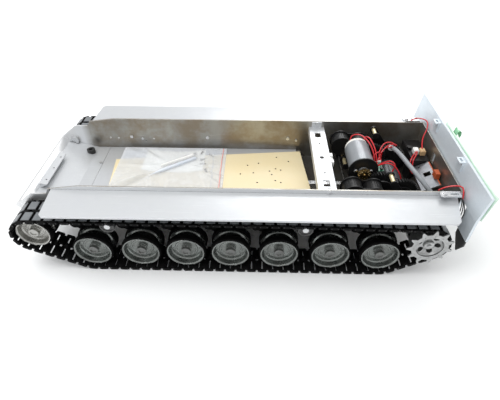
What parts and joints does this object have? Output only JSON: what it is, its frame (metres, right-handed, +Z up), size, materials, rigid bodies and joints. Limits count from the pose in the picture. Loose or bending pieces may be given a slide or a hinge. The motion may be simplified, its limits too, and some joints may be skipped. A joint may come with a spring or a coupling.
{
  "type": "tracked model tank chassis",
  "caption": "Open hull of a scale model tank with sprung road wheels, idlers, return rollers, sprockets, link tracks, and a geared drive motor for each track.",
  "frame": {"origin": "on the ground under the middle of the bounding box, which is also midway between the first and the last road wheel axles", "axes": "+X forwards, towards the idlers; +Y to the left; +Z up"},
  "size_m": [0.4704, 0.2148, 0.1104],
  "materials": {
    "hull_sheet": "brushed sheet, lightly marked",
    "bright_sheet": "bright satin sheet",
    "cream_board": "matt board",
    "clear_film": "clear crinkled film",
    "track_black": "moulded black",
    "gearbox_black": "moulded, slight gloss",
    "motor_grey": "semi-gloss grey can",
    "bar_steel": "bright drawn bar",
    "wire_red": "sleeved wire",
    "wheel_metal": "turned, satin",
    "arm_metal": "dark cast",
    "roller_metal": "turned",
    "sprocket_metal": "machined",
    "pinion_brass": "machined",
    "gear_black": "moulded"
  },
  "bodies": {
    "hull": {"hull_tub": "hull_sheet", "floor_plate": "bright_sheet", "track_guards": "bright_sheet", "cross_member": "bright_sheet", "front_bracket": "bright_sheet", "rear_plate": "bright_sheet", "equipment_plate": "cream_board", "spares_bag": "clear_film", "track_left": "track_black", "track_right": "track_black", "gearbox_frames": "gearbox_black", "drive_motors": "motor_grey", "torsion_bars": "bar_steel", "fixed_axles": "bar_steel", "wiring_harness": "wire_red", "smoke_unit": "gearbox_black", "switch_bracket": "bright_sheet", "fixings": "bar_steel"},
    "road_wheel_left_1": {"road_wheel_left_1": "wheel_metal"},
    "road_wheel_left_2": {"road_wheel_left_2": "wheel_metal"},
    "road_wheel_left_3": {"road_wheel_left_3": "wheel_metal"},
    "road_wheel_left_4": {"road_wheel_left_4": "wheel_metal"},
    "road_wheel_left_5": {"road_wheel_left_5": "wheel_metal"},
    "road_wheel_left_6": {"road_wheel_left_6": "wheel_metal"},
    "road_wheel_left_7": {"road_wheel_left_7": "wheel_metal"},
    "road_wheel_right_1": {"road_wheel_right_1": "wheel_metal"},
    "road_wheel_right_2": {"road_wheel_right_2": "wheel_metal"},
    "road_wheel_right_3": {"road_wheel_right_3": "wheel_metal"},
    "road_wheel_right_4": {"road_wheel_right_4": "wheel_metal"},
    "road_wheel_right_5": {"road_wheel_right_5": "wheel_metal"},
    "road_wheel_right_6": {"road_wheel_right_6": "wheel_metal"},
    "road_wheel_right_7": {"road_wheel_right_7": "wheel_metal"},
    "swing_arm_left_1": {"swing_arm_left_1": "arm_metal"},
    "swing_arm_left_2": {"swing_arm_left_2": "arm_metal"},
    "swing_arm_left_3": {"swing_arm_left_3": "arm_metal"},
    "swing_arm_left_4": {"swing_arm_left_4": "arm_metal"},
    "swing_arm_left_5": {"swing_arm_left_5": "arm_metal"},
    "swing_arm_left_6": {"swing_arm_left_6": "arm_metal"},
    "swing_arm_left_7": {"swing_arm_left_7": "arm_metal"},
    "swing_arm_right_1": {"swing_arm_right_1": "arm_metal"},
    "swing_arm_right_2": {"swing_arm_right_2": "arm_metal"},
    "swing_arm_right_3": {"swing_arm_right_3": "arm_metal"},
    "swing_arm_right_4": {"swing_arm_right_4": "arm_metal"},
    "swing_arm_right_5": {"swing_arm_right_5": "arm_metal"},
    "swing_arm_right_6": {"swing_arm_right_6": "arm_metal"},
    "swing_arm_right_7": {"swing_arm_right_7": "arm_metal"},
    "idler_left": {"idler_left": "wheel_metal"},
    "idler_right": {"idler_right": "wheel_metal"},
    "return_roller_left_front": {"return_roller_left_front": "roller_metal"},
    "return_roller_left_rear": {"return_roller_left_rear": "roller_metal"},
    "return_roller_right_front": {"return_roller_right_front": "roller_metal"},
    "return_roller_right_rear": {"return_roller_right_rear": "roller_metal"},
    "sprocket_left": {"sprocket_left": "sprocket_metal"},
    "sprocket_right": {"sprocket_right": "sprocket_metal"},
    "motor_pinion_left": {"motor_pinion_left": "pinion_brass"},
    "motor_pinion_right": {"motor_pinion_right": "pinion_brass"},
    "first_gear_left": {"first_gear_left": "gear_black"},
    "second_gear_left": {"second_gear_left": "gear_black"},
    "first_gear_right": {"first_gear_right": "gear_black"},
    "second_gear_right": {"second_gear_right": "gear_black"}
  },
  "joints": [
    {"name": "sprocket_left_spin", "type": "hinge", "parent": "hull", "child": "sprocket_left", "pos_m": [-0.1955, 0.08595, 0.047], "axis": [0, 1, 0], "continuous": true},
    {"name": "swing_arm_left_1_lift", "type": "hinge", "parent": "hull", "child": "swing_arm_left_1", "pos_m": [0.17624, 0.0707, 0.04018], "axis": [0, 1, 0], "range_deg": [0, 15]},
    {"name": "road_wheel_left_1_spin", "type": "hinge", "parent": "swing_arm_left_1", "child": "road_wheel_left_1", "pos_m": [0.15225, 0.08595, 0.0246], "axis": [0, 1, 0], "continuous": true},
    {"name": "swing_arm_left_2_lift", "type": "hinge", "parent": "hull", "child": "swing_arm_left_2", "pos_m": [0.12468, 0.0707, 0.04018], "axis": [0, 1, 0], "range_deg": [0, 15]},
    {"name": "road_wheel_left_2_spin", "type": "hinge", "parent": "swing_arm_left_2", "child": "road_wheel_left_2", "pos_m": [0.1007, 0.08595, 0.0246], "axis": [0, 1, 0], "continuous": true},
    {"name": "swing_arm_left_3_lift", "type": "hinge", "parent": "hull", "child": "swing_arm_left_3", "pos_m": [0.07712, 0.0707, 0.04018], "axis": [0, 1, 0], "range_deg": [0, 15]},
    {"name": "road_wheel_left_3_spin", "type": "hinge", "parent": "swing_arm_left_3", "child": "road_wheel_left_3", "pos_m": [0.05314, 0.08595, 0.0246], "axis": [0, 1, 0], "continuous": true},
    {"name": "swing_arm_left_4_lift", "type": "hinge", "parent": "hull", "child": "swing_arm_left_4", "pos_m": [0.02944, 0.0707, 0.04018], "axis": [0, 1, 0], "range_deg": [0, 15]},
    {"name": "road_wheel_left_4_spin", "type": "hinge", "parent": "swing_arm_left_4", "child": "road_wheel_left_4", "pos_m": [0.00545, 0.08595, 0.0246], "axis": [0, 1, 0], "continuous": true},
    {"name": "swing_arm_left_5_lift", "type": "hinge", "parent": "hull", "child": "swing_arm_left_5", "pos_m": [-0.02193, 0.0707, 0.04018], "axis": [0, 1, 0], "range_deg": [0, 15]},
    {"name": "road_wheel_left_5_spin", "type": "hinge", "parent": "swing_arm_left_5", "child": "road_wheel_left_5", "pos_m": [-0.04592, 0.08595, 0.0246], "axis": [0, 1, 0], "continuous": true},
    {"name": "swing_arm_left_6_lift", "type": "hinge", "parent": "hull", "child": "swing_arm_left_6", "pos_m": [-0.07592, 0.0707, 0.04018], "axis": [0, 1, 0], "range_deg": [0, 15]},
    {"name": "road_wheel_left_6_spin", "type": "hinge", "parent": "swing_arm_left_6", "child": "road_wheel_left_6", "pos_m": [-0.09991, 0.08595, 0.0246], "axis": [0, 1, 0], "continuous": true},
    {"name": "swing_arm_left_7_lift", "type": "hinge", "parent": "hull", "child": "swing_arm_left_7", "pos_m": [-0.12826, 0.0707, 0.04018], "axis": [0, 1, 0], "range_deg": [0, 15]},
    {"name": "road_wheel_left_7_spin", "type": "hinge", "parent": "swing_arm_left_7", "child": "road_wheel_left_7", "pos_m": [-0.15225, 0.08595, 0.0246], "axis": [0, 1, 0], "continuous": true},
    {"name": "idler_left_spin", "type": "hinge", "parent": "hull", "child": "idler_left", "pos_m": [0.2076, 0.08595, 0.0496], "axis": [0, 1, 0], "continuous": true},
    {"name": "return_roller_left_front_spin", "type": "hinge", "parent": "hull", "child": "return_roller_left_front", "pos_m": [0.1288, 0.0927, 0.0607], "axis": [0, 1, 0], "continuous": true},
    {"name": "return_roller_left_rear_spin", "type": "hinge", "parent": "hull", "child": "return_roller_left_rear", "pos_m": [-0.0709, 0.0927, 0.0607], "axis": [0, 1, 0], "continuous": true},
    {"name": "second_gear_left_spin", "type": "hinge", "parent": "hull", "child": "second_gear_left", "pos_m": [-0.18107, 0.035, 0.05776], "axis": [0, 1, 0], "continuous": true},
    {"name": "first_gear_left_spin", "type": "hinge", "parent": "hull", "child": "first_gear_left", "pos_m": [-0.15658, 0.03, 0.06277], "axis": [0, 1, 0], "continuous": true},
    {"name": "motor_left_spin", "type": "hinge", "parent": "hull", "child": "motor_pinion_left", "pos_m": [-0.138, 0.027, 0.0795], "axis": [0, 1, 0], "continuous": true},
    {"name": "sprocket_right_spin", "type": "hinge", "parent": "hull", "child": "sprocket_right", "pos_m": [-0.1955, -0.08595, 0.047], "axis": [0, 1, 0], "continuous": true},
    {"name": "swing_arm_right_1_lift", "type": "hinge", "parent": "hull", "child": "swing_arm_right_1", "pos_m": [0.17624, -0.0707, 0.04018], "axis": [0, 1, 0], "range_deg": [0, 15]},
    {"name": "road_wheel_right_1_spin", "type": "hinge", "parent": "swing_arm_right_1", "child": "road_wheel_right_1", "pos_m": [0.15225, -0.08595, 0.0246], "axis": [0, 1, 0], "continuous": true},
    {"name": "swing_arm_right_2_lift", "type": "hinge", "parent": "hull", "child": "swing_arm_right_2", "pos_m": [0.12468, -0.0707, 0.04018], "axis": [0, 1, 0], "range_deg": [0, 15]},
    {"name": "road_wheel_right_2_spin", "type": "hinge", "parent": "swing_arm_right_2", "child": "road_wheel_right_2", "pos_m": [0.1007, -0.08595, 0.0246], "axis": [0, 1, 0], "continuous": true},
    {"name": "swing_arm_right_3_lift", "type": "hinge", "parent": "hull", "child": "swing_arm_right_3", "pos_m": [0.07712, -0.0707, 0.04018], "axis": [0, 1, 0], "range_deg": [0, 15]},
    {"name": "road_wheel_right_3_spin", "type": "hinge", "parent": "swing_arm_right_3", "child": "road_wheel_right_3", "pos_m": [0.05314, -0.08595, 0.0246], "axis": [0, 1, 0], "continuous": true},
    {"name": "swing_arm_right_4_lift", "type": "hinge", "parent": "hull", "child": "swing_arm_right_4", "pos_m": [0.02944, -0.0707, 0.04018], "axis": [0, 1, 0], "range_deg": [0, 15]},
    {"name": "road_wheel_right_4_spin", "type": "hinge", "parent": "swing_arm_right_4", "child": "road_wheel_right_4", "pos_m": [0.00545, -0.08595, 0.0246], "axis": [0, 1, 0], "continuous": true},
    {"name": "swing_arm_right_5_lift", "type": "hinge", "parent": "hull", "child": "swing_arm_right_5", "pos_m": [-0.02193, -0.0707, 0.04018], "axis": [0, 1, 0], "range_deg": [0, 15]},
    {"name": "road_wheel_right_5_spin", "type": "hinge", "parent": "swing_arm_right_5", "child": "road_wheel_right_5", "pos_m": [-0.04592, -0.08595, 0.0246], "axis": [0, 1, 0], "continuous": true},
    {"name": "swing_arm_right_6_lift", "type": "hinge", "parent": "hull", "child": "swing_arm_right_6", "pos_m": [-0.07592, -0.0707, 0.04018], "axis": [0, 1, 0], "range_deg": [0, 15]},
    {"name": "road_wheel_right_6_spin", "type": "hinge", "parent": "swing_arm_right_6", "child": "road_wheel_right_6", "pos_m": [-0.09991, -0.08595, 0.0246], "axis": [0, 1, 0], "continuous": true},
    {"name": "swing_arm_right_7_lift", "type": "hinge", "parent": "hull", "child": "swing_arm_right_7", "pos_m": [-0.12826, -0.0707, 0.04018], "axis": [0, 1, 0], "range_deg": [0, 15]},
    {"name": "road_wheel_right_7_spin", "type": "hinge", "parent": "swing_arm_right_7", "child": "road_wheel_right_7", "pos_m": [-0.15225, -0.08595, 0.0246], "axis": [0, 1, 0], "continuous": true},
    {"name": "idler_right_spin", "type": "hinge", "parent": "hull", "child": "idler_right", "pos_m": [0.2076, -0.08595, 0.0496], "axis": [0, 1, 0], "continuous": true},
    {"name": "return_roller_right_front_spin", "type": "hinge", "parent": "hull", "child": "return_roller_right_front", "pos_m": [0.1288, -0.0927, 0.0607], "axis": [0, 1, 0], "continuous": true},
    {"name": "return_roller_right_rear_spin", "type": "hinge", "parent": "hull", "child": "return_roller_right_rear", "pos_m": [-0.0709, -0.0927, 0.0607], "axis": [0, 1, 0], "continuous": true},
    {"name": "second_gear_right_spin", "type": "hinge", "parent": "hull", "child": "second_gear_right", "pos_m": [-0.18107, -0.035, 0.05776], "axis": [0, 1, 0], "continuous": true},
    {"name": "first_gear_right_spin", "type": "hinge", "parent": "hull", "child": "first_gear_right", "pos_m": [-0.15658, -0.03, 0.06277], "axis": [0, 1, 0], "continuous": true},
    {"name": "motor_right_spin", "type": "hinge", "parent": "hull", "child": "motor_pinion_right", "pos_m": [-0.17778, -0.027, 0.04952], "axis": [0, 1, 0], "continuous": true}
  ],
  "couplings": [
    {"joint": "road_wheel_left_1_spin", "follows": "sprocket_left_spin", "ratio": 0.94522},
    {"joint": "road_wheel_left_2_spin", "follows": "sprocket_left_spin", "ratio": 0.94522},
    {"joint": "road_wheel_left_3_spin", "follows": "sprocket_left_spin", "ratio": 0.94522},
    {"joint": "road_wheel_left_4_spin", "follows": "sprocket_left_spin", "ratio": 0.94522},
    {"joint": "road_wheel_left_5_spin", "follows": "sprocket_left_spin", "ratio": 0.94522},
    {"joint": "road_wheel_left_6_spin", "follows": "sprocket_left_spin", "ratio": 0.94522},
    {"joint": "road_wheel_left_7_spin", "follows": "sprocket_left_spin", "ratio": 0.94522},
    {"joint": "idler_left_spin", "follows": "sprocket_left_spin", "ratio": 1.0824},
    {"joint": "return_roller_left_front_spin", "follows": "sprocket_left_spin", "ratio": 2.6844},
    {"joint": "return_roller_left_rear_spin", "follows": "sprocket_left_spin", "ratio": 2.6844},
    {"joint": "second_gear_left_spin", "follows": "sprocket_left_spin", "ratio": -1.25},
    {"joint": "first_gear_left_spin", "follows": "sprocket_left_spin", "ratio": 3.9583},
    {"joint": "motor_left_spin", "follows": "sprocket_left_spin", "ratio": -12.535},
    {"joint": "road_wheel_right_1_spin", "follows": "sprocket_right_spin", "ratio": 0.94522},
    {"joint": "road_wheel_right_2_spin", "follows": "sprocket_right_spin", "ratio": 0.94522},
    {"joint": "road_wheel_right_3_spin", "follows": "sprocket_right_spin", "ratio": 0.94522},
    {"joint": "road_wheel_right_4_spin", "follows": "sprocket_right_spin", "ratio": 0.94522},
    {"joint": "road_wheel_right_5_spin", "follows": "sprocket_right_spin", "ratio": 0.94522},
    {"joint": "road_wheel_right_6_spin", "follows": "sprocket_right_spin", "ratio": 0.94522},
    {"joint": "road_wheel_right_7_spin", "follows": "sprocket_right_spin", "ratio": 0.94522},
    {"joint": "idler_right_spin", "follows": "sprocket_right_spin", "ratio": 1.0824},
    {"joint": "return_roller_right_front_spin", "follows": "sprocket_right_spin", "ratio": 2.6844},
    {"joint": "return_roller_right_rear_spin", "follows": "sprocket_right_spin", "ratio": 2.6844},
    {"joint": "second_gear_right_spin", "follows": "sprocket_right_spin", "ratio": -1.25},
    {"joint": "first_gear_right_spin", "follows": "sprocket_right_spin", "ratio": 3.9583},
    {"joint": "motor_right_spin", "follows": "sprocket_right_spin", "ratio": -12.535}
  ]
}
